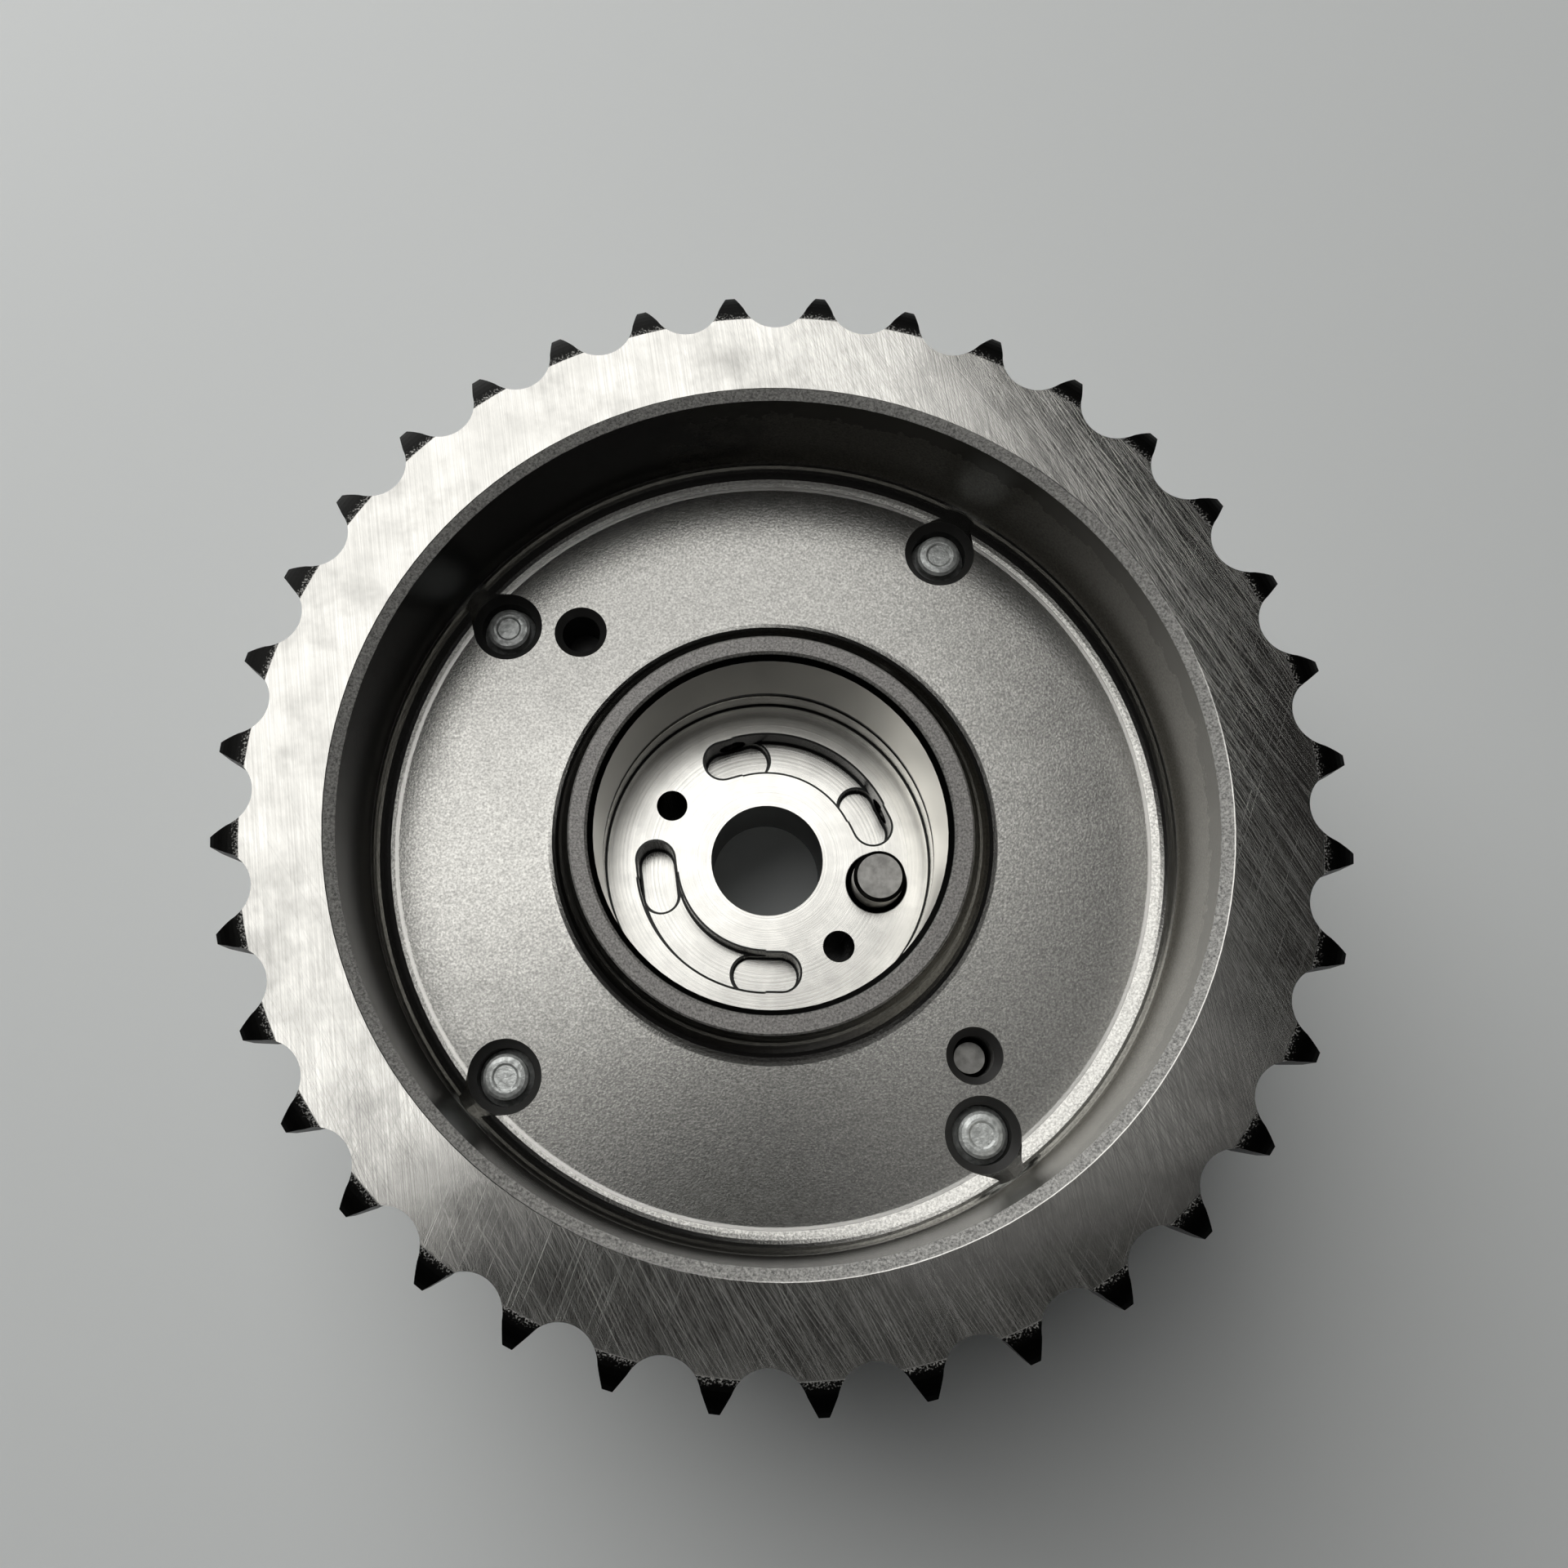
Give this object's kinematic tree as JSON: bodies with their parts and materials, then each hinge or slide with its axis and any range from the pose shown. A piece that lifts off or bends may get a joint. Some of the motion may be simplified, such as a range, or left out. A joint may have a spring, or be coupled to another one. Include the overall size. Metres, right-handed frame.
{
  "type": "cam phaser",
  "caption": "Chain-driven cam phaser: a toothed cup with a deep recess and camshaft collar, bolted to a vane chamber in which a vane rotor turns to shift valve timing.",
  "frame": {"origin": "centre of the four bolt heads' faces, under the middle of the part", "axes": "+Z along the camshaft axis, out of the cup on the camshaft side; +X points between two teeth on the wide vane's side"},
  "size_m": [0.0938, 0.0938, 0.0492],
  "materials": {
    "sintered_steel": "sintered, toothed face ground",
    "stator_alloy": "machined",
    "rotor_alloy": "turned and milled",
    "cover_steel": "ground",
    "zinc_bolt": "zinc plated",
    "pin_steel": "hardened, dark",
    "spring_steel": "drawn",
    "seal_polymer": "moulded"
  },
  "bodies": {
    "housing": {"sprocket": "sintered_steel", "stator": "stator_alloy", "front_cover": "cover_steel", "cover_bolts": "zinc_bolt", "locating_pin": "pin_steel", "stator_seal_1": "seal_polymer", "stator_seal_2": "seal_polymer", "stator_seal_3": "seal_polymer", "stator_seal_4": "seal_polymer", "stator_spring_1": "spring_steel", "stator_spring_2": "spring_steel", "stator_spring_3": "spring_steel", "stator_spring_4": "spring_steel"},
    "rotor": {"rotor": "rotor_alloy", "cam_dowel": "pin_steel", "lock_spring": "spring_steel", "lock_retainer": "pin_steel", "vane_seal_1": "seal_polymer", "vane_seal_2": "seal_polymer", "vane_seal_3": "seal_polymer", "vane_seal_4": "seal_polymer", "vane_spring_1": "spring_steel", "vane_spring_2": "spring_steel", "vane_spring_3": "spring_steel", "vane_spring_4": "spring_steel"},
    "lock_pin": {"lock_pin": "pin_steel"}
  },
  "joints": [
    {"name": "rotor_phase", "type": "hinge", "parent": "housing", "child": "rotor", "pos_m": [0, 0, 0.0176], "axis": [0, 0, 1], "range_deg": [0, 27]},
    {"name": "lock_pin_slide", "type": "slide", "parent": "rotor", "child": "lock_pin", "axis": [0, 0, 1], "range_m": [0, 0.003], "deforming": ["lock_spring"]}
  ],
  "couplings": [
    {"joint": "lock_pin_slide", "follows": "rotor_phase", "m_per_rad": 0.0063662}
  ]
}
